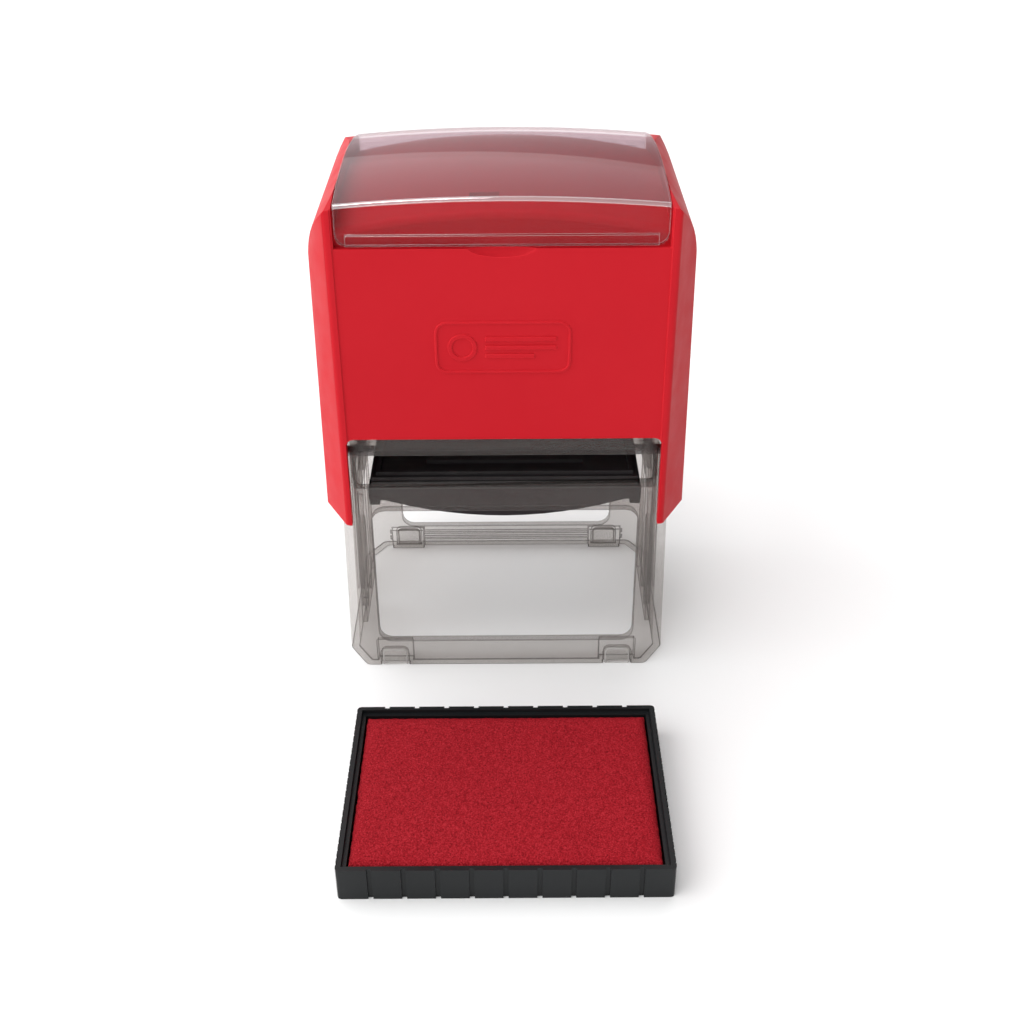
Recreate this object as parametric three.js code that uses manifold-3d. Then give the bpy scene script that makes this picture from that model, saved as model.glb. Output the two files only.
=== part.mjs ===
// Self inking stamp with its ink pad taken out and laid in front of it.
// Millimetres, +Z up, +Y backward. The origin is on the table, in the middle of stamp and pad.
import * as THREE from 'three';
import { mergeVertices } from 'three/addons/utils/BufferGeometryUtils.js';
import Module from 'manifold-3d';

const wasm = await Module();
wasm.setup();

// ---- Driving dimensions ----
const GAP = 0.3; // clearance between neighbouring pieces
const PAST = 1; // how far a cutting tool runs past the face it opens
const BITE = 0.5; // how far two joined parts of one body run into each other

const PAD = { width: 66, depth: 48, height: 7.8, wall: 1.1, step: 0.9, floor: 1.6 };
const PAD_TO_CAP = 22.1; // free table between pad and cap

const BASE = {
  halfWidth: 38, halfDepth: 27, frontHalf: 33.5, sideHalf: 20.1, height: 65.6, wall: 2, draft: 0.017,
  corner: 1.6, innerCorner: 0.8,
};
const FRONT_WINDOW = { half: 30, low: 7.3, high: 43.7, corner: 3 };
const BACK_WINDOW = { half: 28, low: 6.4, high: 42.6, corner: 3 };
const BACK_RIB = { half: 31.5, depth: 0.8, heights: [[2.4, 3.2], [4.2, 5]] };
const GUIDE_WALL = { from: 34.6, to: 36.4, half: 12, low: 1.5, high: 48 };
const FOOT_BACKING = { from: 22.4, to: 31, depth: 1.4, high: 5.9 };
const CAP = {
  halfWidth: 41.2, halfDepth: 29.5, frontHalf: 35.2, sideHalf: 19.3, wall: 1.8, draft: 0.0115,
  armBottom: 41.6, panelBottom: 63.3, panelHalf: 34, panelStep: 0.3, innerTop: 105, top: 118.3,
  corner: 1.2, innerCorner: 0.6,
};
const SLOT = { half: 33.3, low: 49.9, high: 58 };
const CARRIER = { low: 48.4, roof: 1.8, play: 0.4, reach: 40, back: 23.2, runnerInner: 31.9 };
const CARRIER_RIB = { from: 20.8, to: 22.6, halfDepth: 24.3 };
const SPRING_SEAT = { outer: 2.6, inner: 1.2, height: 4 }; // measured from the coil's centre line
const PLATEN = { halfLength: 31, halfDepth: 21, dieHeight: 5.4, plateTop: 1.9, ribDepth: 5.5 };
const DIE = { halfLength: 30.2, halfDepth: 20.5, top: 49.6, relief: 0.8, sheet: 0.9 };
const COVER = { half: 33.1, low: 106.6, crest: 118.7, peakY: -5.6, radiusY: 120, radiusX: 380, wall: 1.1 };
const SHELF = { crest: 115.9, peakY: -1, radiusX: 150, roof: 1.6 }; // the cap's own roof
const STRIP = { half: 31, low: 106.9, high: 109.1 };
const FOOT = { at: 26.7, half: 3, high: 4.6, depth: 1, corner: 1.1 };
const BUTTON = { half: 4, low: 86, high: 91, corner: 1.5, flange: 1 };
const AXLE_R = 1.25;
const GUIDE_R = 1.1;
const GUIDE_ARM = 8; // distance of the guide pin from the axle
const RUNNING = 0.3; // radial play of a pin in its bore or groove
const SPRING = { radius: 7, wire: 1.2, turns: 8, low: 61.2, high: 109.2 };

// ---- Places worked out from them ----
const TOTAL_DEPTH = PAD.depth + PAD_TO_CAP + 2 * CAP.halfDepth;
const STAMP_Y = TOTAL_DEPTH / 2 - CAP.halfDepth;
const PAD_Y = PAD.depth / 2 - TOTAL_DEPTH / 2;
const AXLE_Z = DIE.top - PLATEN.dieHeight;
const STROKE = AXLE_Z - PLATEN.dieHeight;
const COVER_FACE = CAP.halfDepth - 0.8;
const SHELF_HALF = COVER_FACE - COVER.wall - GAP;
const SIDES = [['left', -1], ['right', 1]];

// ---- Geometry helpers ----
function solid(geometry) {
  const bare = geometry.clone();
  bare.deleteAttribute('normal');
  bare.deleteAttribute('uv');
  const merged = mergeVertices(bare, 1e-5);
  return new wasm.Manifold(new wasm.Mesh({
    numProp: 3,
    vertProperties: new Float32Array(merged.attributes.position.array),
    triVerts: new Uint32Array(merged.index.array),
  }));
}

function geometryOf(body) {
  const mesh = body.getMesh();
  const geometry = new THREE.BufferGeometry();
  geometry.setAttribute('position', new THREE.BufferAttribute(mesh.vertProperties, 3));
  geometry.setIndex(new THREE.BufferAttribute(mesh.triVerts, 1));
  geometry.computeVertexNormals();
  return geometry;
}

function block([x0, x1], [y0, y1], [z0, z1]) {
  const low = new THREE.Vector3(Math.min(x0, x1), Math.min(y0, y1), Math.min(z0, z1));
  const high = new THREE.Vector3(Math.max(x0, x1), Math.max(y0, y1), Math.max(z0, z1));
  const size = high.clone().sub(low);
  const geometry = new THREE.BoxGeometry(size.x, size.y, size.z);
  geometry.translate(...low.add(high).multiplyScalar(0.5).toArray());
  return solid(geometry);
}

// Extrudes an outline along one axis. The outline's two coordinates are the other two axes,
// in the order (y, z) for X, (x, z) for Y and (x, y) for Z.
function extrude(axis, points, from, to) {
  const shape = new THREE.Shape(points.map(([a, b]) => new THREE.Vector2(a, b)));
  const depth = Math.abs(to - from);
  const geometry = new THREE.ExtrudeGeometry(shape, { depth, bevelEnabled: false, steps: 1 });
  const low = Math.min(from, to);
  const turn = new THREE.Matrix4();
  const [ex, ey, ez] = [[1, 0, 0], [0, 1, 0], [0, 0, 1]].map((v) => new THREE.Vector3(...v));
  if (axis === 'x') {
    turn.makeBasis(ey, ez, ex).setPosition(low, 0, 0);
  } else if (axis === 'y') {
    turn.makeBasis(ex, ez, ey.negate()).setPosition(0, low + depth, 0);
  } else {
    turn.setPosition(0, 0, low);
  }
  return solid(geometry.applyMatrix4(turn));
}

function cylinder(axis, [a, b], radius, from, to, sides = 24) {
  const points = [];
  for (let i = 0; i < sides; i += 1) {
    const t = (2 * Math.PI * i) / sides;
    points.push([a + radius * Math.cos(t), b + radius * Math.sin(t)]);
  }
  return extrude(axis, points, from, to);
}

// A convex outline with every corner rounded by the same radius.
function rounded(points, radius, steps = 4) {
  const out = [];
  points.forEach((corner, i) => {
    const p = new THREE.Vector2(...corner);
    const before = new THREE.Vector2(...points[(i + points.length - 1) % points.length]).sub(p);
    const after = new THREE.Vector2(...points[(i + 1) % points.length]).sub(p);
    const half = before.angleTo(after) / 2;
    const reach = radius / Math.tan(half);
    const start = p.clone().add(before.normalize().multiplyScalar(reach));
    const end = p.clone().add(after.normalize().multiplyScalar(reach));
    const centre = p.clone().add(
      before.clone().add(after).normalize().multiplyScalar(radius / Math.sin(half)),
    );
    const first = Math.atan2(start.y - centre.y, start.x - centre.x);
    let turn = Math.atan2(end.y - centre.y, end.x - centre.x) - first;
    if (turn > Math.PI) turn -= 2 * Math.PI;
    if (turn < -Math.PI) turn += 2 * Math.PI;
    for (let k = 0; k <= steps; k += 1) {
      const t = first + (turn * k) / steps;
      out.push([centre.x + radius * Math.cos(t), centre.y + radius * Math.sin(t)]);
    }
  });
  return out;
}

function roundedBox([a0, a1], [b0, b1], radius, steps = 4) {
  return rounded([[a0, b0], [a1, b0], [a1, b1], [a0, b1]], radius, steps);
}

// The plan of base and cap: a rectangle with its four corners cut off, counter-clockwise.
function plan({ halfWidth, halfDepth, frontHalf, sideHalf, draft = 0 }, z = 0, inset = 0) {
  const w = halfWidth - draft * z;
  const slant = new THREE.Vector2(halfDepth - sideHalf, w - frontHalf).normalize();
  const reach = slant.x * w + slant.y * sideHalf - inset;
  const x = w - inset;
  const y = halfDepth - inset;
  const sideY = (reach - slant.x * x) / slant.y;
  const frontX = (reach - slant.y * y) / slant.x;
  return [
    [x, -sideY], [x, sideY], [frontX, y], [-frontX, y],
    [-x, sideY], [-x, -sideY], [-frontX, -y], [frontX, -y],
  ];
}

// A solid between two plans with the same number of points.
function loft(bottom, top, z0, z1) {
  const n = bottom.length;
  const positions = [];
  bottom.forEach(([x, y]) => positions.push(x, y, z0));
  top.forEach(([x, y]) => positions.push(x, y, z1));
  const index = [];
  for (let i = 0; i < n; i += 1) {
    const j = (i + 1) % n;
    index.push(i, j, n + j, i, n + j, n + i);
  }
  for (let i = 1; i < n - 1; i += 1) {
    index.push(0, i + 1, i, n, n + i, n + i + 1);
  }
  const geometry = new THREE.BufferGeometry();
  geometry.setAttribute('position', new THREE.Float32BufferAttribute(positions, 3));
  geometry.setIndex(index);
  return solid(geometry);
}

// A block whose top is crowned front to back, highest a little in front of the middle, and more
// gently from side to side. The form gives the place of the crest and the radius from side to side.
function crowned(halfX, halfY, low, crest, form = COVER, steps = 12) {
  const geometry = new THREE.BoxGeometry(2 * halfX, 2 * halfY, 2, steps, steps, 1);
  const position = geometry.attributes.position;
  for (let i = 0; i < position.count; i += 1) {
    const x = position.getX(i);
    const y = position.getY(i) - form.peakY;
    const fall = (y * y) / (2 * COVER.radiusY) + (x * x) / (2 * form.radiusX);
    position.setZ(i, position.getZ(i) > 0 ? crest - fall : low);
  }
  return solid(geometry);
}

const joinAll = (solids) => solids.reduce((all, next) => all.add(next));

// ---- Base body ----
function camGroove(side) {
  const reach = GUIDE_R + RUNNING;
  const steps = 28;
  const track = [];
  for (let i = 0; i <= steps; i += 1) {
    const turn = (Math.PI * i) / steps;
    track.push(new THREE.Vector2(
      GUIDE_ARM * Math.cos(turn),
      AXLE_Z - (STROKE * turn) / Math.PI + GUIDE_ARM * Math.sin(turn),
    ));
  }
  const outline = [[], []];
  track.forEach((point, i) => {
    const ahead = track[Math.min(i + 1, steps)].clone();
    const along = ahead.sub(track[Math.max(i - 1, 0)]).normalize();
    outline[0].push([point.x - along.y * reach, point.y + along.x * reach]);
    outline[1].unshift([point.x + along.y * reach, point.y - along.x * reach]);
  });
  const depths = [side * 34, side * 36.1];
  const ends = [track[0], track[steps]];
  return joinAll([
    extrude('x', [...outline[0], ...outline[1]].reverse(), ...depths),
    ...ends.map((end) => cylinder('x', [end.x, end.y], reach, ...depths, 16)),
  ]);
}

const footSpan = (side, room) => [side * FOOT.at - FOOT.half - room, side * FOOT.at + FOOT.half + room];

// A soft foot clipped into a pocket in the lower edge of the front or back wall.
function foot(face, side) {
  const outline = roundedBox(footSpan(side, 0), [-4, FOOT.high], FOOT.corner);
  const depths = [face * (BASE.halfDepth - FOOT.depth), face * (BASE.halfDepth - 0.05)];
  const past = [-BASE.halfWidth, BASE.halfWidth];
  return extrude('y', outline, ...depths).subtract(block(past, past, [-9, 0]));
}

function baseFrame() {
  const outside = (z) => rounded(plan(BASE, z), BASE.corner, 3);
  const inside = (z) => rounded(plan(BASE, z, BASE.wall), BASE.innerCorner, 3);
  const top = BASE.height + PAST;
  let body = loft(outside(0), outside(BASE.height), 0, BASE.height);
  body = body.subtract(loft(inside(-PAST), inside(top), -PAST, top));

  const innerY = BASE.halfDepth - BASE.wall;
  for (const heights of BACK_RIB.heights) {
    const depths = [innerY - BACK_RIB.depth, innerY + BITE];
    body = body.add(block([-BACK_RIB.half, BACK_RIB.half], depths, heights));
  }
  for (const [, side] of SIDES) {
    const across = [side * GUIDE_WALL.from, side * GUIDE_WALL.to];
    const along = [-GUIDE_WALL.half, GUIDE_WALL.half];
    body = body.add(block(across, along, [GUIDE_WALL.low, GUIDE_WALL.high]));
  }
  for (const face of [-1, 1]) {
    for (const [, side] of SIDES) {
      const across = [side * FOOT_BACKING.from, side * FOOT_BACKING.to];
      const backing = [face * (innerY - FOOT_BACKING.depth), face * (innerY + BITE)];
      body = body.add(block(across, backing, [0, FOOT_BACKING.high]));
      const pocket = roundedBox(footSpan(side, GAP), [-4, FOOT.high + GAP], FOOT.corner + GAP);
      const depths = [face * (BASE.halfDepth - FOOT.depth - GAP), face * (BASE.halfDepth + PAST)];
      body = body.subtract(extrude('y', pocket, ...depths));
    }
  }
  const wallDepth = (face) => [face * (innerY - 2 * PAST), face * (BASE.halfDepth + PAST)];
  for (const [face, { half, low, high, corner }] of [[-1, FRONT_WINDOW], [1, BACK_WINDOW]]) {
    const outline = roundedBox([-half, half], [low, high], corner);
    body = body.subtract(extrude('y', outline, ...wallDepth(face)));
  }
  body = body.subtract(block([-SLOT.half, SLOT.half], wallDepth(-1), [SLOT.low, SLOT.high]));

  const slotHalf = AXLE_R + RUNNING + 0.1;
  const slotLow = AXLE_Z - STROKE;
  for (const [, side] of SIDES) {
    const through = [side * (GUIDE_WALL.from - 1.6), side * (BASE.halfWidth + 2)];
    body = body.subtract(block(through, [-slotHalf, slotHalf], [slotLow, AXLE_Z]));
    body = body.subtract(cylinder('x', [0, slotLow], slotHalf, ...through, 16));
    body = body.subtract(cylinder('x', [0, AXLE_Z], slotHalf, ...through, 16));
    body = body.subtract(camGroove(side));
  }
  return body;
}

// The tray-shaped shelf that takes the ink pad, with the spring's seat on its roof.
function padCarrier() {
  const { low, roof, play, reach, back, runnerInner } = CARRIER;
  const ceiling = SLOT.high + GAP;
  const high = ceiling + roof;
  const outline = (z) => plan(BASE, z, BASE.wall + play);
  let body = loft(outline(low), outline(high), low, high);
  const pocket = [-PAD.width / 2 - play, PAD.width / 2 + play];
  body = body.subtract(block(pocket, [-reach, back], [SLOT.low - 0.1, ceiling]));
  const between = [-runnerInner, runnerInner];
  body = body.subtract(block(between, [-reach, reach], [low - PAST, SLOT.low + PAST]));
  const { from, to, halfDepth } = CARRIER_RIB;
  for (const [, side] of SIDES) {
    const rib = block([side * from, side * to], [-halfDepth, halfDepth], [high - BITE, BASE.height - BITE]);
    const brace = block([side * 8, side * 22], [-0.8, 0.8], [high - BITE, high + 2.6]);
    body = body.add(rib).add(brace);
  }
  const { outer, inner, height } = SPRING_SEAT;
  const seat = cylinder('z', [0, 0], SPRING.radius + outer, high - BITE, high + height, 32);
  const hollow = cylinder('z', [0, 0], SPRING.radius + inner, high, high + height + PAST, 32);
  return body.add(seat).subtract(hollow);
}

// ---- Cap body ----
function shoulderProfile() {
  const start = 100;
  const radius = 22;
  const end = THREE.MathUtils.degToRad(43.5);
  const side = CAP.halfWidth - CAP.draft * start;
  const wide = CAP.halfWidth + 5;
  const right = [[wide, 20], [wide, start], [side, start]];
  const steps = 9;
  for (let i = 1; i <= steps; i += 1) {
    const t = (end * i) / steps;
    right.push([side - radius * (1 - Math.cos(t)), start + radius * Math.sin(t)]);
  }
  right.push([33.5, 115.7]);
  const left = right.map(([x, z]) => [-x, z]).reverse();
  return [...right, ...left];
}

function badge() {
  const face = -CAP.halfDepth;
  const back = face + 0.6;
  const [width, low, high] = [14, 79.2, 90.7];
  const middle = (low + high) / 2;
  const line = 0.45;
  const frame = extrude('y', roundedBox([-width, width], [low, high], 2.4), face, back);
  const hole = extrude(
    'y',
    roundedBox([-width + line, width - line], [low + line, high - line], 2, 4),
    face - PAST,
    back + PAST,
  );
  const ring = cylinder('y', [-8.4, middle], 3, face, back, 24)
    .subtract(cylinder('y', [-8.4, middle], 2.2, face - PAST, back + PAST, 24));
  const bars = [[1.9, 11], [0, 11], [-1.9, 6.5]].map(([rise, end]) => (
    block([-3.6, end], [face, back], [middle + rise - 0.45, middle + rise + 0.45])
  ));
  return joinAll([frame.subtract(hole), ring, ...bars]);
}

const buttonOutline = (grow, corner = BUTTON.corner) => roundedBox(
  [-BUTTON.half - grow, BUTTON.half + grow],
  [BUTTON.low - grow, BUTTON.high + grow],
  corner,
);

function capShell() {
  const outside = (z) => rounded(plan(CAP, z), CAP.corner, 3);
  const inside = (z) => rounded(plan(CAP, z, CAP.wall), CAP.innerCorner, 3);
  const past = 60;
  const above = CAP.top + 3.7;
  let body = loft(outside(CAP.armBottom), outside(above), CAP.armBottom, above);
  body = body.intersect(extrude('y', shoulderProfile(), -past, past));
  body = body.intersect(crowned(past, past, 20, CAP.top, COVER, 24));

  const low = CAP.armBottom - PAST;
  body = body.subtract(loft(inside(low), inside(CAP.innerTop), low, CAP.innerTop));
  const { crest, roof } = SHELF;
  body = body.subtract(crowned(COVER.half - CAP.wall, SHELF_HALF - CAP.wall, 103, crest - roof, SHELF));

  const recess = block([-COVER.half - GAP, COVER.half + GAP], [-40, 40], [COVER.low - GAP, 130]);
  body = body.subtract(recess.subtract(crowned(40, SHELF_HALF, 100, crest, SHELF)));
  const tabPocket = [[-6.5, -0.5], [5 - SHELF_HALF, 8.2 - SHELF_HALF], [crest - 2.6, 120]];
  body = body.subtract(block(...tabPocket));

  const opening = roundedBox([-CAP.panelHalf, CAP.panelHalf], [20, CAP.panelBottom], 1.6);
  body = body.subtract(extrude('y', opening, -40, 40).subtract(block([-60, 60], [-26, 26], [0, 80])));
  const clear = block([-CAP.panelHalf, CAP.panelHalf], [-40, 40], [20, CAP.panelBottom - 1]);
  body = body.subtract(clear);

  for (const face of [-1, 1]) {
    const panelY = face * (CAP.halfDepth - CAP.panelStep);
    const depth = [panelY, face * (CAP.halfDepth + PAST)];
    body = body.subtract(block([-33.7, 33.7], depth, [60, 130]));
    const notch = new THREE.SphereGeometry(1, 24, 12);
    notch.scale(7, 1.1, 2.1);
    notch.translate(0, panelY, COVER.low);
    body = body.subtract(solid(notch));
  }
  body = body.add(badge());

  for (const [, side] of SIDES) {
    const bore = [side * 38, side * (CAP.halfWidth - 1.2)];
    body = body.subtract(cylinder('x', [0, AXLE_Z], AXLE_R + RUNNING, ...bore, 20));
    body = body.subtract(extrude('x', buttonOutline(0), side * 38, side * 43));
    body = body.subtract(extrude('x', buttonOutline(BUTTON.flange), side * 38, side * 39.5));
  }
  return body;
}

function springRetainer() {
  const plateLow = SPRING.high + GAP;
  const plate = extrude('z', roundedBox([-15, 15], [-11, 11], 3), plateLow, plateLow + 1.6);
  const cup = cylinder('z', [0, 0], SPRING.radius + SPRING_SEAT.outer, plateLow - 4.2, plateLow + BITE, 32)
    .subtract(cylinder('z', [0, 0], SPRING.radius + SPRING_SEAT.inner, plateLow - 5, plateLow, 32));
  const post = cylinder('z', [0, 0], SPRING.radius - 2.2, plateLow - 7, plateLow + BITE, 24);
  return joinAll([plate, cup, post]);
}

function returnSpring() {
  const { radius, wire, turns, low, high } = SPRING;
  const stepsPerTurn = 14;
  const flat = 0.9; // turns that lie nearly flat at each end
  const flatPitch = wire * 1.05;
  const rise = high - low - wire - 2 * flatPitch * flat;
  const points = [];
  for (let i = 0; i <= turns * stepsPerTurn; i += 1) {
    const turn = i / stepsPerTurn;
    const angle = 2 * Math.PI * turn;
    const share = THREE.MathUtils.clamp((turn - flat) / (turns - 2 * flat), 0, 1);
    const flatTurns = Math.min(turn, flat) + Math.max(turn - turns + flat, 0);
    const z = low + wire / 2 + share * rise + flatPitch * flatTurns;
    points.push(new THREE.Vector3(radius * Math.cos(angle), radius * Math.sin(angle), z));
  }
  const path = new THREE.CatmullRomCurve3(points);
  const section = [];
  const sides = 8;
  for (let i = 0; i < sides; i += 1) {
    const t = (2 * Math.PI * i) / sides;
    section.push(new THREE.Vector2((wire / 2) * Math.cos(t), (wire / 2) * Math.sin(t)));
  }
  const geometry = new THREE.ExtrudeGeometry(new THREE.Shape(section), {
    extrudePath: path, steps: points.length - 1, bevelEnabled: false,
  });
  return solid(geometry);
}

// ---- Cover body ----
function indexCover() {
  const face = COVER_FACE;
  const outer = crowned(COVER.half, face, COVER.low, COVER.crest);
  const front = extrude('y', roundedBox([-COVER.half, COVER.half], [COVER.low, 140], 2.4), -40, 40);
  const inner = crowned(COVER.half + PAST, face - COVER.wall, COVER.low - 3, COVER.crest - COVER.wall);
  let body = outer.intersect(front).subtract(inner);
  for (const side of [-1, 1]) {
    const depth = [side * (face - BITE), side * CAP.halfDepth];
    body = body.add(block([-STRIP.half, STRIP.half], depth, [STRIP.low, STRIP.high]));
  }
  return body;
}

// ---- Lock buttons ----
function lockButton(side) {
  const corner = BUTTON.corner - 0.2;
  const stem = buttonOutline(-GAP, corner);
  const flange = buttonOutline(BUTTON.flange - GAP, corner);
  return extrude('x', stem, side * 38.75, side * 41.2).add(extrude('x', flange, side * 38.6, side * 39.2));
}

// ---- Platen body ----
function platenBlock() {
  const { halfLength: length, halfDepth: depth, ribDepth } = PLATEN;
  const top = AXLE_Z + PLATEN.plateTop;
  const under = AXLE_Z - 1.2;
  const arch = [[length, top], [-length, top], [-length, AXLE_Z]];
  const steps = 14;
  for (let i = 1; i < steps; i += 1) {
    const x = length * ((2 * i) / steps - 1);
    arch.push([x, AXLE_Z - ribDepth * (1 - (x / length) ** 2)]);
  }
  arch.push([length, AXLE_Z]);
  let body = block([-length, length], [-depth, depth], [under, top]);
  for (const face of [-1, 1]) {
    body = body.add(extrude('y', arch, face * (depth - 1.8), face * depth));
  }
  for (const x of [-15, 0, 15]) {
    body = body.add(block([x - 0.8, x + 0.8], [-depth + 1, depth - 1], [AXLE_Z - 3.2, under + 0.5]));
  }
  for (const [, side] of SIDES) {
    const endWall = [side * (length - 2.4), side * length];
    body = body.add(block(endWall, [-depth + 1, depth - 1], [AXLE_Z - 3, top]));
    const boss = cylinder('x', [0, AXLE_Z], 3.3, side * (length - 11), side * (length - 0.6), 20);
    body = body.add(boss.intersect(block([-50, 50], [-10, 10], [0, under + 0.5])));
    body = body.subtract(cylinder('x', [0, AXLE_Z], AXLE_R + RUNNING, side * 22, side * 40, 20));
    body = body.subtract(cylinder('x', [GUIDE_ARM, AXLE_Z], GUIDE_R + RUNNING, side * 28, side * 40, 16));
  }
  return body;
}

const platenCushion = () => block(
  [-DIE.halfLength, DIE.halfLength],
  [-DIE.halfDepth, DIE.halfDepth],
  [AXLE_Z + PLATEN.plateTop + GAP, DIE.top - DIE.relief - DIE.sheet - GAP],
);

function rubberDie() {
  const sheetTop = DIE.top - DIE.relief;
  const [x, y] = [DIE.halfLength, DIE.halfDepth];
  const sheet = block([-x, x], [-y, y], [sheetTop - DIE.sheet, sheetTop]);
  const heights = [sheetTop - 0.3, DIE.top];
  const border = block([-x + 1, x - 1], [-y + 1, y - 1], heights)
    .subtract(block([-x + 2, x - 2], [-y + 2, y - 2], [0, 90]));
  const bars = [[-13, 18], [-7, 24], [-1, 24], [5, 24], [12, 14]].map(([at, half]) => (
    block([-half, half], [at - 1.3, at + 1.3], heights)
  ));
  return joinAll([sheet, border, ...bars]);
}

const axlePin = (side) => cylinder('x', [0, AXLE_Z], AXLE_R, side * 22.5, side * 39.4, 20);
const guidePin = (side) => cylinder('x', [GUIDE_ARM, AXLE_Z], GUIDE_R, side * 28.5, side * 35.7, 16);

// ---- Ink pad body ----
function padTray() {
  const [x, y] = [PAD.width / 2, PAD.depth / 2];
  let body = extrude('z', roundedBox([-x, x], [-y, y], 0.8, 2), 0, PAD.height);
  const first = PAD.wall;
  const second = PAD.wall + PAD.step;
  body = body.subtract(block([-x + first, x - first], [-y + first, y - first], [PAD.height - 0.9, 20]));
  body = body.subtract(block([-x + second, x - second], [-y + second, y - second], [PAD.floor, 20]));
  const segments = 10;
  const notches = 26;
  for (const face of [-1, 1]) {
    for (let i = 1; i < segments; i += 1) {
      const at = -x + (PAD.width * i) / segments;
      body = body.subtract(block([at - 0.5, at + 0.5], [face * (y - 0.5), face * (y + 1)], [-1, 20]));
    }
    for (let i = 1; i < notches; i += 1) {
      const at = -y + (PAD.depth * i) / notches;
      body = body.subtract(block([face * (x - 0.3), face * (x + 1)], [at - 0.3, at + 0.3], [-1, 20]));
    }
  }
  return body;
}

function inkFoam() {
  const margin = PAD.wall + PAD.step + GAP;
  const [x, y] = [PAD.width / 2 - margin, PAD.depth / 2 - margin];
  return block([-x, x], [-y, y], [PAD.floor + GAP, PAD.height - 0.4]);
}

// ---- Scene graph ----
const FINISH = {
  smoke: { color: 0x8d8680, roughness: 0.35, metalness: 0 },
  red: { color: 0xc8202c, roughness: 0.42, metalness: 0 },
  clear: { color: 0xc9a9ad, roughness: 0.12, metalness: 0 },
  black: { color: 0x1b1b1d, roughness: 0.5, metalness: 0 },
  rubber: { color: 0x232125, roughness: 0.8, metalness: 0 },
  cushion: { color: 0x4a4a4c, roughness: 0.95, metalness: 0 },
  foot: { color: 0xb0aaa5, roughness: 0.3, metalness: 0 },
  steel: { color: 0xa8abb0, roughness: 0.3, metalness: 1 },
  ink: { color: 0xa01c26, roughness: 0.95, metalness: 0 },
};

const stamp = new THREE.Group();
stamp.position.y = STAMP_Y;
const inkPad = new THREE.Group();
inkPad.position.y = PAD_Y;

function place(group, name, finish, body) {
  const mesh = new THREE.Mesh(geometryOf(body), new THREE.MeshStandardMaterial(FINISH[finish]));
  mesh.name = name;
  group.add(mesh);
}

place(stamp, 'base_frame', 'smoke', baseFrame());
place(stamp, 'pad_carrier', 'smoke', padCarrier());
place(stamp, 'cap_shell', 'red', capShell());
place(stamp, 'spring_retainer', 'black', springRetainer());
place(stamp, 'return_spring', 'steel', returnSpring());
place(stamp, 'index_cover', 'clear', indexCover());
place(stamp, 'platen_block', 'black', platenBlock());
place(stamp, 'platen_cushion', 'cushion', platenCushion());
place(stamp, 'rubber_die', 'rubber', rubberDie());
for (const [name, side] of SIDES) {
  place(stamp, `lock_button_${name}`, 'red', lockButton(side));
  place(stamp, `axle_pin_${name}`, 'steel', axlePin(side));
  place(stamp, `guide_pin_${name}`, 'steel', guidePin(side));
}
for (const [end, face] of [['front', -1], ['back', 1]]) {
  for (const [name, side] of SIDES) {
    place(stamp, `foot_${end}_${name}`, 'foot', foot(face, side));
  }
}
place(inkPad, 'pad_tray', 'black', padTray());
place(inkPad, 'ink_foam', 'ink', inkFoam());

const group = new THREE.Group();
group.add(stamp, inkPad);
export default group;
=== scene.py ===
"""Self inking stamp with its ink pad laid in front of it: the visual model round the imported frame."""
import math
import bmesh
import bpy
from mathutils import Matrix, Vector, noise


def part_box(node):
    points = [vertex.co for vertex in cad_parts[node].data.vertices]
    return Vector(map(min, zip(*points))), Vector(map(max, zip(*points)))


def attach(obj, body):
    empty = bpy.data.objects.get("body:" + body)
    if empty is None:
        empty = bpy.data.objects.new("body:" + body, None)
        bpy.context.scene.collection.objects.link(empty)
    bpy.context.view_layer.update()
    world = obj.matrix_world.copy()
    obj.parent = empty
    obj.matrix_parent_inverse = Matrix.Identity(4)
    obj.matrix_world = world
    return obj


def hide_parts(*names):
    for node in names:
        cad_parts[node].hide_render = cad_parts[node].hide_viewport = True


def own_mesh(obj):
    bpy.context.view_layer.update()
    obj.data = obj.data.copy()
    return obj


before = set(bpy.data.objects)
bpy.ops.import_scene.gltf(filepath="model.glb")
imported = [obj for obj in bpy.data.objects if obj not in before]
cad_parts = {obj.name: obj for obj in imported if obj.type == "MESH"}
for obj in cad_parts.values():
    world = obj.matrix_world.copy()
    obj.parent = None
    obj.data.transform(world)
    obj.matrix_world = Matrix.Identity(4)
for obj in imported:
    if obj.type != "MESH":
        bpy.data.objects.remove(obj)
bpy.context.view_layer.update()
MM = 0.001

# ---- The camera and the room ----
CAMERA_PLACE = Vector((1.63, -243.0, 201.56)) * MM
CAMERA_DOWN = math.radians(32.208)
CAMERA_ROLL = math.radians(0.357)
CAMERA_LENS = 46.51
FLOOR_HALF = 3.0
SKY_LEVEL = 0.86
SKY_SLOPE = (-0.8, -0.12, -0.1)  # brighter to the left and in front, darker overhead
SUNS = (  # name, the direction it shines in, strength, angle in degrees
    ("key", (0.8, 0.25, -0.6), 1.4, 60),
    ("back", (0.2, -0.5, -0.75), 0.9, 80),
    ("window", (0.14, 0.3, -0.94), 0.35, 14),
)

# ---- How the CAD shapes are refined ----
WELD = 1e-6  # corners closer than this, in m, are one
FLAT_FOLD = math.radians(0.4)  # faces that meet at less than this are one
SMOOTH_FOLD = math.radians(35)  # folds below this are shaded smooth
SHARP_FOLD = math.radians(28)  # folds above this are rounded
RIDGE_FOLD = 0.6  # radians; folds above this can be given a soft ridge first
ROUNDING_STEPS, RIDGE_STEPS = 3, 6
FLATNESS_WEIGHT = 90  # how far large flat faces decide the shading of their corners
UNCLAMPED = ("base_frame", "cap_shell")  # their short edges would clamp the rounding to nothing
REVEAL_SHADE = 0.45  # how strongly painted shade darkens the thickness of a wall, next to 1 for a rounding
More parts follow.
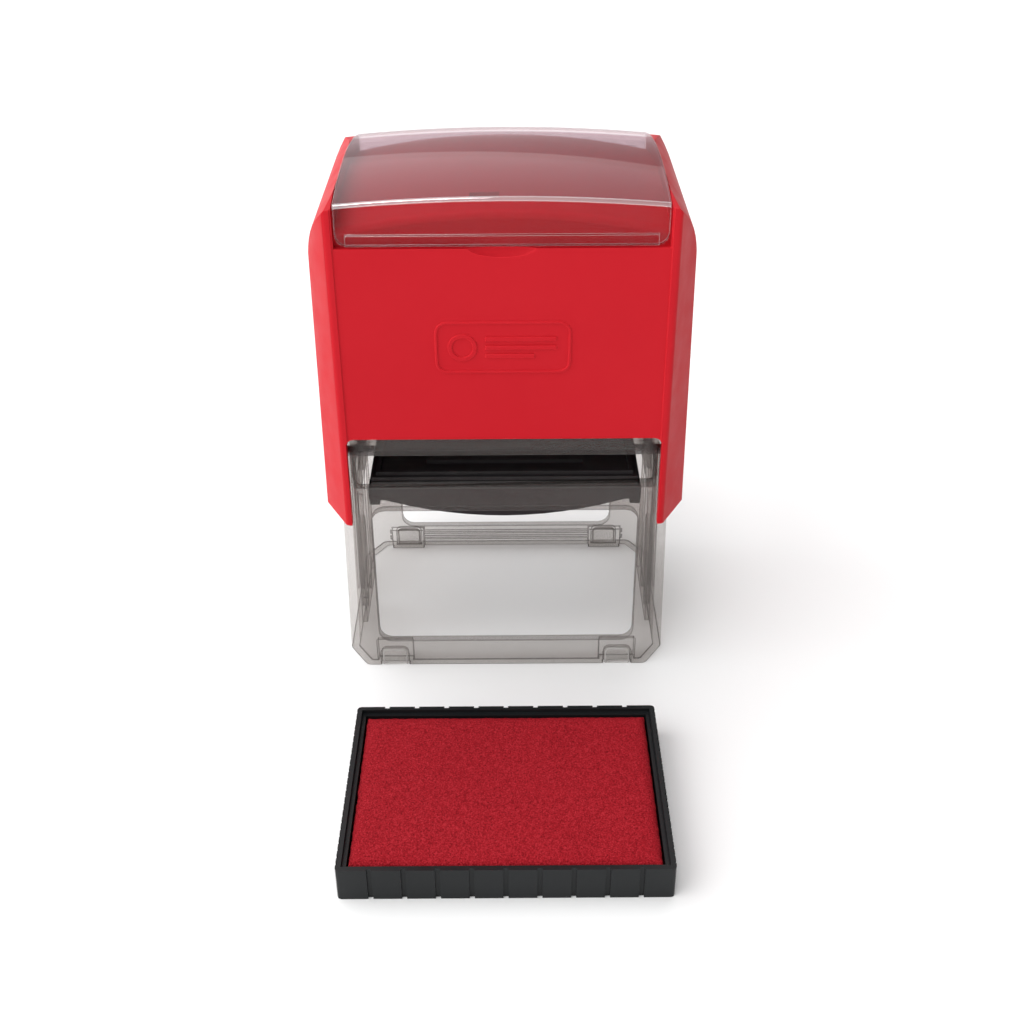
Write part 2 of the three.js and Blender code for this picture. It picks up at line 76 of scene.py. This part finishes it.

# ---- Sizes, in mm ----
COVER_RIDGE = {"below_top": 7, "depth": 1.8}
SHELF_RIDGE = {"above_hem": 0.3, "nearest": 2, "farthest": 3, "half_width": 33.45}
BASE_WALL = {"half_width": 34, "low": 5, "high": 60, "from_middle": 24.5}
FOAM = {"pitch": 0.35, "margin": 0.1, "sunk": 0.25, "droop": 0.9, "droop_reach": 0.8,
        "grain": 0.1, "ragged_edge": 0.5, "ragged": 0.16}
COIL = {"wire": 0.6, "turns": 8, "flat_turns": 0.9, "sides": 14, "steps": 48}
NOISE_SEED = 4  # without it the ragged edge of the foam differs from run to run


def add_camera():
    data = bpy.data.cameras.new("camera")
    data.lens = CAMERA_LENS
    data.sensor_width = 36
    data.clip_start = 0.01
    camera = bpy.data.objects.new("camera", data)
    turn = Matrix.Rotation(math.pi / 2 - CAMERA_DOWN, 4, "X") @ Matrix.Rotation(-CAMERA_ROLL, 4, "Z")
    camera.matrix_world = Matrix.Translation(CAMERA_PLACE) @ turn
    bpy.context.scene.collection.objects.link(camera)
    bpy.context.scene.camera = camera


def add_sun(name, towards, strength, angle):
    """A broad, even light that shines along the direction towards."""
    data = bpy.data.lights.new(name, "SUN")
    data.energy = strength
    data.angle = math.radians(angle)
    light = bpy.data.objects.new(name, data)
    light.matrix_world = Vector(towards).to_track_quat("-Z", "Y").to_matrix().to_4x4()
    bpy.context.scene.collection.objects.link(light)


def add_room():
    scene = bpy.context.scene
    scene.view_settings.view_transform = "Standard"
    world = bpy.data.worlds.new("studio")
    world.use_nodes = True
    nodes, links = world.node_tree.nodes, world.node_tree.links
    place = nodes.new("ShaderNodeTexCoord").outputs["Generated"]
    slope = nodes.new("ShaderNodeVectorMath")
    slope.operation = "DOT_PRODUCT"
    slope.inputs[1].default_value = SKY_SLOPE
    links.new(place, slope.inputs[0])
    level = nodes.new("ShaderNodeMath")
    level.operation = "ADD"
    level.use_clamp = True
    level.inputs[1].default_value = SKY_LEVEL
    links.new(slope.outputs["Value"], level.inputs[0])
    links.new(level.outputs["Value"], nodes["Background"].inputs["Strength"])
    nodes["Background"].inputs["Color"].default_value = (1.0, 1.0, 1.0, 1)
    scene.world = world
    for sun in SUNS:
        add_sun(*sun)
    floor = new_piece("floor", grid_mesh(FLOOR_HALF, FLOOR_HALF, 1, 1, lambda x, y: 0))
    floor.data.materials.append(floor_material())


# ---- Node helpers ----
class Shader:
    """A material under construction: makes nodes and joins them."""

    def __init__(self, name):
        self.material = bpy.data.materials.new(name)
        self.material.use_nodes = True
        self.tree = self.material.node_tree
        self.tree.nodes.clear()
        self.output = self.node("ShaderNodeOutputMaterial")
        self.place = self.node("ShaderNodeTexCoord").outputs["Object"]

    def node(self, kind, inputs=None, **settings):
        made = self.tree.nodes.new(kind)
        for key, value in settings.items():
            setattr(made, key, value)
        for key, value in (inputs or {}).items():
            if hasattr(value, "is_output"):
                self.tree.links.new(value, made.inputs[key])
            else:
                made.inputs[key].default_value = value
        return made

    def noise(self, scale, detail=2.0, rough=0.5):
        made = self.node("ShaderNodeTexNoise", {"Vector": self.place, "Scale": scale, "Detail": detail,
                                                "Roughness": rough})
        return made.outputs["Fac"]

    def ramp(self, value, low, high, out_low, out_high):
        made = self.node("ShaderNodeMapRange", {"Value": value, "From Min": low, "From Max": high,
                                                "To Min": out_low, "To Max": out_high})
        return made.outputs["Result"]

    def mix(self, share, first, second):
        made = self.node("ShaderNodeMix", data_type="RGBA")
        for key, value in ((0, share), (6, first), (7, second)):
            if hasattr(value, "is_output"):
                self.tree.links.new(value, made.inputs[key])
            else:
                made.inputs[key].default_value = value
        return made.outputs[2]

    def bump(self, height, strength, distance, normal=None):
        inputs = {"Height": height, "Strength": strength, "Distance": distance}
        if normal is not None:
            inputs["Normal"] = normal
        return self.node("ShaderNodeBump", inputs).outputs["Normal"]

    def edges(self):
        """1 on the rounding of an edge, less on the thickness of a wall, 0 on flats."""
        return self.node("ShaderNodeAttribute", attribute_name="rim").outputs["Fac"]

    def principled(self, inputs):
        return self.node("ShaderNodeBsdfPrincipled", inputs).outputs["BSDF"]

    def finish(self, surface):
        self.tree.links.new(surface, self.output.inputs["Surface"])
        return self.material


def floor_material():
    s = Shader("floor")
    colour = s.mix(s.noise(3.0, 3), (0.93, 0.93, 0.93, 1), (0.96, 0.96, 0.96, 1))
    return s.finish(s.principled({"Base Color": colour, "Roughness": 0.75}))


# ---- Materials ----
def moulded(name, dark, light, rough, gloss=0.35):
    """Injection moulded plastic: a fine spark-eroded grain, slow colour drift and a painted highlight,
    a paler colour on the roundings of edges.
    """
    s = Shader(name)
    drift = s.noise(35.0, 3)
    edge = s.edges()
    colour = s.mix(drift, dark, light)
    # painted highlight: the roundings of edges are mixed up to 30% towards a paler colour
    edge_highlight_colour = tuple(min(1, c * 1.3 + 0.015) for c in light[:3]) + (1,)
    colour = s.mix(s.ramp(edge, 0, 1, 0, 0.3), colour, edge_highlight_colour)
    fine = s.noise(2600.0, 2, 0.6)
    roughness = s.ramp(s.noise(180.0, 4), 0.3, 0.7, rough - 0.05, rough + 0.06)
    normal = s.bump(fine, 0.25, 0.00003)
    normal = s.bump(s.noise(60.0, 2), 0.06, 0.0004, normal)
    return s.finish(s.principled({"Base Color": colour, "Roughness": roughness, "Normal": normal,
                                  "Specular IOR Level": gloss}))


def red_plastic():
    return moulded("red_plastic", (0.53, 0.009, 0.018, 1), (0.57, 0.012, 0.021, 1), 0.46, 0.1)


def smoke_plastic():
    """Smoke-grey see-through plastic with a satin, finely sparkling surface, and painted shade on the
    roundings of edges and the thickness of walls.
    """
    s = Shader("smoke_plastic")
    fine = s.noise(2400.0, 2, 0.6)
    drift = s.noise(50.0, 3)
    colour = s.mix(drift, (0.165, 0.154, 0.149, 1), (0.205, 0.192, 0.186, 1))
    normal = s.bump(fine, 0.2, 0.00003)
    body = s.principled({"Base Color": colour, "Roughness": s.ramp(drift, 0.3, 0.7, 0.24, 0.32),
                         "Normal": normal, "Specular IOR Level": 0.4})
    # painted shade: roundings and wall thickness let less light through and show more of the dark body,
    # standing in for the dark lines that refraction draws along edges
    tint_with_painted_shade = s.mix(s.edges(), (0.95, 0.935, 0.925, 1), (0.56, 0.54, 0.53, 1))
    clear = s.node("ShaderNodeBsdfTransparent", {"Color": tint_with_painted_shade}).outputs["BSDF"]
    mixed = s.node("ShaderNodeMixShader", {0: s.ramp(s.edges(), 0, 1, 0.21, 0.4), 1: clear, 2: body})
    return s.finish(mixed.outputs["Shader"])


def clear_plastic():
    """The glossy, faintly smoky cover with hairline scratches and dust, its top darkened partly by the
    slanted path through the plastic, partly by painted shade.
    """
    s = Shader("clear_cover")
    scratch = s.ramp(s.noise(900.0, 6, 0.8), 0.62, 0.7, 0.0, 1.0)
    normal = s.bump(s.noise(25.0, 2), 0.02, 0.0004)
    roughness = s.ramp(scratch, 0, 1, 0.05, 0.2)
    body = s.principled({"Base Color": (0.86, 0.83, 0.84, 1), "Roughness": roughness,
                         "Normal": normal, "Metallic": 1.0})
    facing = s.node("ShaderNodeLayerWeight", {"Blend": 0.5, "Normal": normal}).outputs["Facing"]
    # partly the longer slanted path through the plastic, partly painted shade: the see-through tint
    # darkens and turns pink where the cover is seen at a slant, as on its top, standing in for the
    # shade on the red shelf beneath
    tint_with_painted_shade = s.mix(s.ramp(facing, 0.1, 0.38, 0.0, 1.0), (0.95, 0.91, 0.92, 1), (0.73, 0.60, 0.64, 1))
    clear = s.node("ShaderNodeBsdfTransparent", {"Color": tint_with_painted_shade}).outputs["BSDF"]
    steep = s.node("ShaderNodeMath", {0: facing, 1: 3.0}, operation="POWER").outputs["Value"]
    share = s.ramp(steep, 0.0, 1.0, 0.012, 0.44)
    rim = s.ramp(s.edges(), 0, 1, 0, 0.38)
    share = s.node("ShaderNodeMath", {0: share, 1: rim}, operation="ADD").outputs["Value"]
    mixed = s.node("ShaderNodeMixShader", {0: share, 1: clear, 2: body})
    return s.finish(mixed.outputs["Shader"])


def clear_foot():
    """Soft clear plastic of the feet, slightly milky, with painted shade on the roundings of edges."""
    s = Shader("foot_plastic")
    colour = s.mix(s.noise(120.0, 3), (0.6, 0.58, 0.57, 1), (0.68, 0.66, 0.65, 1))
    roughness = s.ramp(s.noise(300.0, 3), 0.3, 0.7, 0.2, 0.32)
    normal = s.bump(s.noise(500.0, 2), 0.15, 0.0001)
    body = s.principled({"Base Color": colour, "Roughness": roughness, "Normal": normal})
    # painted shade: the roundings let less light through and show more of the body, standing in for the
    # dark outlines that refraction draws along edges
    tint_with_painted_shade = s.mix(s.edges(), (0.985, 0.98, 0.975, 1), (0.62, 0.6, 0.59, 1))
    clear = s.node("ShaderNodeBsdfTransparent", {"Color": tint_with_painted_shade}).outputs["BSDF"]
    mixed = s.node("ShaderNodeMixShader", {0: s.ramp(s.edges(), 0, 1, 0.1, 0.5), 1: clear, 2: body})
    return s.finish(mixed.outputs["Shader"])


def steel():
    """Drawn steel of pins and spring."""
    s = Shader("steel")
    colour = s.mix(s.noise(400.0, 3), (0.42, 0.43, 0.45, 1), (0.6, 0.61, 0.63, 1))
    return s.finish(s.principled({"Base Color": colour, "Metallic": 1.0,
                                  "Roughness": s.ramp(s.noise(900.0, 3), 0.3, 0.7, 0.2, 0.38)}))


def ink_foam_material():
    """Open-celled foam soaked with red ink."""
    s = Shader("ink_foam")
    cells = s.node("ShaderNodeTexVoronoi", {"Vector": s.place, "Scale": 2300.0}).outputs["Distance"]
    fine = s.noise(3000.0, 3, 0.8)
    patch = s.noise(60.0, 4, 0.6)
    colour = s.mix(patch, (0.29, 0.004, 0.011, 1), (0.36, 0.008, 0.016, 1))
    colour = s.mix(s.ramp(fine, 0.5, 0.62, 0.0, 0.9), colour, (0.48, 0.025, 0.038, 1))
    colour = s.mix(s.ramp(fine, 0.36, 0.47, 0.9, 0.0), colour, (0.13, 0.001, 0.004, 1))
    normal = s.bump(fine, 0.7, 0.00025)
    normal = s.bump(cells, 0.4, 0.00015, normal)
    return s.finish(s.principled({"Base Color": colour, "Roughness": 0.85, "Normal": normal,
                                  "Specular IOR Level": 0.15}))


def rubber(name, dark, light):
    """Dull rubber or foam, from a dark and a light shade of grey."""
    s = Shader(name)
    colour = s.mix(s.noise(300.0, 4), dark, light)
    normal = s.bump(s.noise(1500.0, 3), 0.4, 0.00006)
    roughness = s.ramp(s.noise(90.0, 3), 0.3, 0.7, 0.5, 0.7)
    return s.finish(s.principled({"Base Color": colour, "Roughness": roughness, "Normal": normal}))


# ---- Mesh helpers ----
def new_piece(name, mesh):
    mesh.name = name
    piece = bpy.data.objects.new(name, mesh)
    bpy.context.scene.collection.objects.link(piece)
    return piece


def grid_mesh(half_x, half_y, count_x, count_y, height):
    """A sheet of count_x by count_y squares whose height is a function of x and y."""
    bm = bmesh.new()
    rows = []
    for i in range(count_x + 1):
        x = half_x * (2 * i / count_x - 1)
        column = []
        for j in range(count_y + 1):
            y = half_y * (2 * j / count_y - 1)
            column.append(bm.verts.new((x, y, height(x, y))))
        rows.append(column)
    for i in range(count_x):
        for j in range(count_y):
            bm.faces.new((rows[i][j], rows[i + 1][j], rows[i + 1][j + 1], rows[i][j + 1]))
    mesh = bpy.data.meshes.new("grid")
    bm.to_mesh(mesh)
    bm.free()
    return mesh


def apply_modifiers(piece):
    """Replaces the piece's mesh with what its modifiers make of it."""
    bpy.context.view_layer.update()
    graph = bpy.context.evaluated_depsgraph_get()
    mesh = bpy.data.meshes.new_from_object(piece.evaluated_get(graph), preserve_all_data_layers=True,
                                           depsgraph=graph)
    piece.modifiers.clear()
    piece.data = mesh


def refined(node, body, material, width, soft=None, reveal=None):
    """The CAD node's shape with its facets cleaned up and every sharp edge rounded by width (mm).
    soft is (test, radius): edges whose two ends pass the test are first rounded by that radius (mm).
    The roundings carry 1 in the attribute rim, faces that pass the test reveal carry REVEAL_SHADE."""
    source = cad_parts[node]
    bm = bmesh.new()
    bm.from_mesh(source.data)
    bmesh.ops.remove_doubles(bm, verts=bm.verts, dist=WELD)
    bmesh.ops.dissolve_limit(bm, angle_limit=FLAT_FOLD, verts=bm.verts, edges=bm.edges)
    if soft:
        test, radius = soft
        chosen = [e for e in bm.edges
                  if e.calc_face_angle(0) > RIDGE_FOLD and all(test(v.co) for v in e.verts)]
        bmesh.ops.bevel(bm, geom=chosen, offset=radius * MM, segments=RIDGE_STEPS, affect="EDGES",
                        profile=0.5, clamp_overlap=True, material=1)
    mesh = bpy.data.meshes.new(node)
    bm.to_mesh(mesh)
    bm.free()
    piece = new_piece(node + "_skin", mesh)
    bevel = piece.modifiers.new("bevel", "BEVEL")
    bevel.width = width * MM
    bevel.segments = ROUNDING_STEPS
    bevel.limit_method = "ANGLE"
    bevel.angle_limit = SHARP_FOLD
    bevel.use_clamp_overlap = node not in UNCLAMPED
    for _ in range(2):
        mesh.materials.append(material)
    bevel.material = 1
    apply_modifiers(piece)
    rim = piece.data.attributes.new("rim", "FLOAT", "FACE")
    for face in piece.data.polygons:
        shown = face.material_index
        if not shown and reveal and reveal(face):
            shown = REVEAL_SHADE
        rim.data[face.index].value = shown
        face.material_index = 0
    finish_piece(piece, body, material)
    weighted = piece.modifiers.new("weighted", "WEIGHTED_NORMAL")
    weighted.weight = FLATNESS_WEIGHT
    weighted.keep_sharp = True
    apply_modifiers(piece)
    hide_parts(node)
    return piece


def finish_piece(piece, body, material, smooth=SMOOTH_FOLD):
    """Gives the piece its material, its smooth shading and the body it rides on."""
    mesh = piece.data
    mesh.materials.clear()
    mesh.materials.append(material)
    mesh.shade_smooth()
    mesh.set_sharp_from_angle(angle=smooth)
    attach(piece, body)


# ---- The ink foam ----
def make_ink_foam(material):
    """A block of foam with a grainy top, drooping at its ragged edges."""
    low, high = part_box("ink_foam")
    centre = (low + high) / 2
    half = (high - low) / 2
    count_x, count_y = (int(2 * side / (FOAM["pitch"] * MM)) for side in (half.x, half.y))
    noise.seed_set(NOISE_SEED)

    def top(x, y):
        edge = min(half.x - abs(x), half.y - abs(y))
        droop = FOAM["droop"] * MM * math.exp(-edge / (FOAM["droop_reach"] * MM))
        cells = noise.noise(Vector((x, y, 0)) * 1400) * FOAM["grain"] * MM
        waves = noise.noise(Vector((x, y, 3)) * 90) * FOAM["grain"] * MM
        return half.z - FOAM["sunk"] * MM - droop + cells + waves

    margin = FOAM["margin"] * MM
    mesh = grid_mesh(half.x - margin, half.y - margin, count_x, count_y, top)
    bm = bmesh.new()
    bm.from_mesh(mesh)
    bm.verts.ensure_lookup_table()
    outline = [(i, 0) for i in range(count_x)] + [(count_x, j) for j in range(count_y)]
    outline += [(i, count_y) for i in range(count_x, 0, -1)] + [(0, j) for j in range(count_y, 0, -1)]
    crest = [bm.verts[i * (count_y + 1) + j] for i, j in outline]
    foot = [bm.verts.new((vert.co.x, vert.co.y, -half.z)) for vert in crest]
    for k, vert in enumerate(crest):
        bm.faces.new((vert, crest[k - 1], foot[k - 1], foot[k]))
    bm.faces.new(foot)
    bmesh.ops.recalc_face_normals(bm, faces=bm.faces)
    bm.to_mesh(mesh)
    bm.free()
    for vert in mesh.vertices:
        edge = min(half.x - abs(vert.co.x), half.y - abs(vert.co.y))
        if edge < FOAM["ragged_edge"] * MM:
            shift = noise.noise_vector(vert.co * 900) * FOAM["ragged"] * MM
            vert.co.x += shift.x * (1 if abs(vert.co.x) < half.x - 0.3 * MM else 0.8)
            vert.co.y += shift.y
    mesh.transform(Matrix.Translation(centre))
    piece = new_piece("ink_foam_cells", mesh)
    finish_piece(piece, "ink_pad", material, smooth=math.pi)
    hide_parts("ink_foam")


# ---- The return spring ----
def make_spring(material):
    """A coil with nearly flat end turns, filling the box of the CAD spring."""
    low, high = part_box("return_spring")
    wire = COIL["wire"] * MM
    turns, flat, sides, steps = (COIL[key] for key in ("turns", "flat_turns", "sides", "steps"))
    radius = (high.x - low.x) / 2 - wire
    centre = (low + high) / 2
    pitch_flat = 2.1 * wire
    height = high.z - low.z - 2 * wire
    bm = bmesh.new()
    rings = []
    for i in range(turns * steps + 1):
        turn = i / steps
        angle = 2 * math.pi * turn
        share = min(max((turn - flat) / (turns - 2 * flat), 0), 1)
        ends = min(turn, flat) + max(turn - (turns - flat), 0)
        z = low.z + wire + share * (height - 2 * flat * pitch_flat) + ends * pitch_flat
        out = Vector((math.cos(angle), math.sin(angle), 0))
        middle = Vector((centre.x, centre.y, z)) + out * radius
        ring = []
        for k in range(sides):
            t = 2 * math.pi * k / sides
            offset = (out * math.cos(t) + Vector((0, 0, 1)) * math.sin(t)) * wire
            ring.append(bm.verts.new(middle + offset))
        rings.append(ring)
    for first, second in zip(rings, rings[1:]):
        for k in range(sides):
            bm.faces.new((first[k], first[(k + 1) % sides], second[(k + 1) % sides], second[k]))
    bm.faces.new(rings[0])
    bm.faces.new(reversed(rings[-1]))
    bmesh.ops.recalc_face_normals(bm, faces=bm.faces)
    mesh = bpy.data.meshes.new("return_spring")
    bm.to_mesh(mesh)
    bm.free()
    piece = new_piece("return_spring_wire", mesh)
    finish_piece(piece, "base", material)
    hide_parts("return_spring")
    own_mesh(piece)


# ---- The whole model ----
def build():
    """Makes the materials, then the piece that stands for each CAD node."""
    red = red_plastic()
    smoke = smoke_plastic()
    black = moulded("black_plastic", (0.012, 0.012, 0.013, 1), (0.02, 0.02, 0.022, 1), 0.45)
    tray = moulded("tray_plastic", (0.006, 0.007, 0.008, 1), (0.011, 0.013, 0.014, 1), 0.34, 0.25)
    clear = clear_plastic()
    metal = steel()
    cover_low, cover_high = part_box("index_cover")
    crown_edge = cover_high.z - COVER_RIDGE["below_top"] * MM
    shelf_edge = cover_low.z + SHELF_RIDGE["above_hem"] * MM

    def from_cover_face(point):
        """Distance from the nearer of the cover's front and back planes."""
        return min(point.y - cover_low.y, cover_high.y - point.y)

    def on_cover_ridge(point):
        return point.z > crown_edge and from_cover_face(point) < COVER_RIDGE["depth"] * MM

    def on_shelf_ridge(point):
        if point.z <= shelf_edge or abs(point.x) >= SHELF_RIDGE["half_width"] * MM:
            return False
        return SHELF_RIDGE["nearest"] * MM < from_cover_face(point) < SHELF_RIDGE["farthest"] * MM

    def in_window(face):
        """Whether a face of the base lies in the thickness of its front or back wall."""
        wall = {key: value * MM for key, value in BASE_WALL.items()}
        depth = abs(face.center.y - (cover_low.y + cover_high.y) / 2)
        inside = abs(face.center.x) < wall["half_width"] and wall["low"] < face.center.z < wall["high"]
        return inside and depth > wall["from_middle"] and abs(face.normal.y) < 0.5

    refined("cap_shell", "cap", red, 0.1, soft=(on_shelf_ridge, 1.2))
    refined("index_cover", "cover", clear, 0.25, soft=(on_cover_ridge, 0.7))
    # the faces that in_window picks, the thickness of the walls round the windows, get painted shade in
    # smoke_plastic
    refined("base_frame", "base", smoke, 0.25, reveal=in_window)
    refined("pad_carrier", "base", smoke, 0.2)
    refined("spring_retainer", "cap", black, 0.25)
    refined("platen_block", "platen", black, 0.2)
    refined("pad_tray", "ink_pad", tray, 0.14)
    die = rubber("die_rubber", (0.012, 0.01, 0.011, 1), (0.028, 0.024, 0.026, 1))
    refined("rubber_die", "platen", die, 0.1)
    cushion = rubber("cushion_foam", (0.03, 0.03, 0.03, 1), (0.06, 0.06, 0.06, 1))
    refined("platen_cushion", "platen", cushion, 0.1)
    foot_plastic = clear_foot()
    for end in ("front", "back"):
        for side in ("left", "right"):
            refined(f"foot_{end}_{side}", "base", foot_plastic, 0.3)
    for side in ("left", "right"):
        refined("lock_button_" + side, "lock_" + side, red, 0.3)
        refined("axle_pin_" + side, "platen", metal, 0.2)
        refined("guide_pin_" + side, "platen", metal, 0.2)
    make_spring(metal)
    make_ink_foam(ink_foam_material())


add_camera()
add_room()
build()
